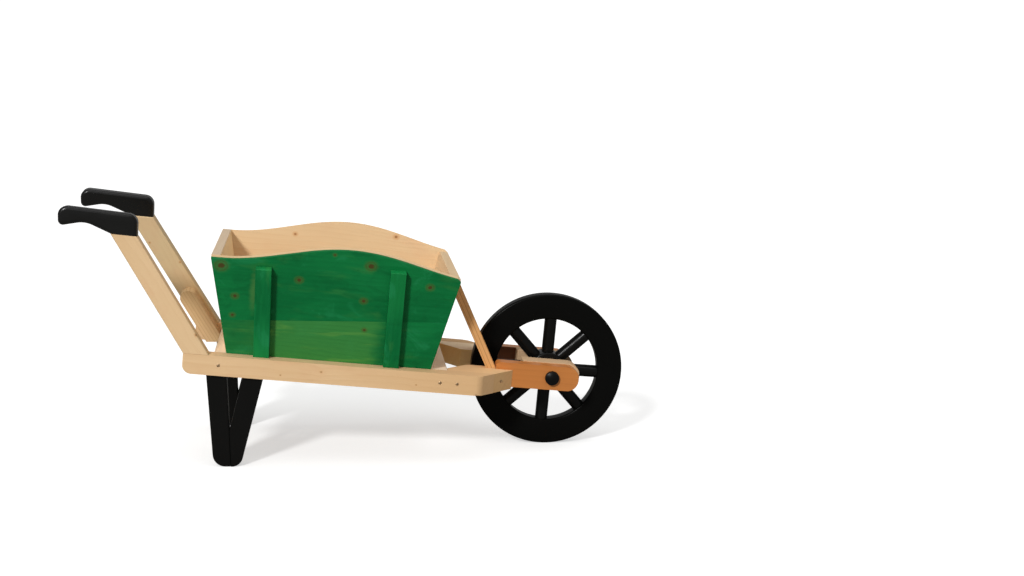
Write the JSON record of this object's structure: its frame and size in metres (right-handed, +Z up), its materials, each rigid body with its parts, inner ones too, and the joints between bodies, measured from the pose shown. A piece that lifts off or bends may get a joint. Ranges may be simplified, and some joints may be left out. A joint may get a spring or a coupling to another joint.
{
  "type": "wooden wheelbarrow",
  "caption": "Wooden garden wheelbarrow: flared box with humped green sides, pine frame, raised black handles and a spoked wheel that spins.",
  "frame": {"origin": "on the ground, under the middle of the object's bounding box", "axes": "+X forwards to the wheel, +Y to the pusher's left, +Z up"},
  "size_m": [1.4378, 0.5344, 0.656],
  "materials": {
    "green_paint": "satin green paint with the grain and knots showing through",
    "bare_pine": "pale planed pine, matte",
    "varnished_wood": "orange-brown varnish",
    "black_gloss": "gloss black paint",
    "black_cap": "gloss black",
    "steel": "zinc plated"
  },
  "bodies": {
    "barrow": {"axle": "steel", "axle_block_left": "bare_pine", "axle_block_right": "bare_pine", "axle_cap_left": "black_cap", "axle_cap_right": "black_cap", "axle_washer_left": "steel", "axle_washer_right": "steel", "batten_front_left": "green_paint", "batten_front_right": "green_paint", "batten_rear_left": "green_paint", "batten_rear_right": "green_paint", "floor_board_left": "bare_pine", "floor_board_right": "bare_pine", "fork_plate_left": "varnished_wood", "fork_plate_right": "varnished_wood", "front_board_lower": "bare_pine", "front_board_upper": "bare_pine", "front_cross_rail": "bare_pine", "hand_grip_left": "black_gloss", "hand_grip_right": "black_gloss", "handle_post_left": "bare_pine", "handle_post_right": "bare_pine", "leg_front_board_left": "black_gloss", "leg_front_board_right": "black_gloss", "leg_rear_board_left": "black_gloss", "leg_rear_board_right": "black_gloss", "nose_block_left": "bare_pine", "nose_block_right": "bare_pine", "post_doubler_left": "bare_pine", "post_doubler_right": "bare_pine", "rear_board_lower": "bare_pine", "rear_board_upper": "bare_pine", "rear_cross_rail": "bare_pine", "screw_fork_left": "steel", "screw_fork_right": "steel", "screw_front_rail_left": "steel", "screw_front_rail_right": "steel", "screw_nose_block_left": "steel", "screw_nose_block_right": "steel", "screw_rear_rail_left": "steel", "screw_rear_rail_right": "steel", "side_beam_left": "bare_pine", "side_beam_right": "bare_pine", "side_board_lower_left": "green_paint", "side_board_lower_right": "green_paint", "side_board_upper_left": "green_paint", "side_board_upper_right": "green_paint", "strut_left": "bare_pine", "strut_right": "bare_pine"},
    "wheel": {"wheel_rim": "black_gloss", "wheel_hub": "black_gloss", "wheel_spoke_1": "black_gloss", "wheel_spoke_2": "black_gloss", "wheel_spoke_3": "black_gloss", "wheel_spoke_4": "black_gloss", "wheel_spoke_5": "black_gloss", "wheel_spoke_6": "black_gloss", "wheel_spoke_7": "black_gloss", "wheel_spoke_8": "black_gloss"}
  },
  "joints": [
    {"name": "wheel_spin", "type": "hinge", "parent": "barrow", "child": "wheel", "pos_m": [0.51515, 0, 0.2037], "axis": [0, 1, 0], "continuous": true}
  ]
}
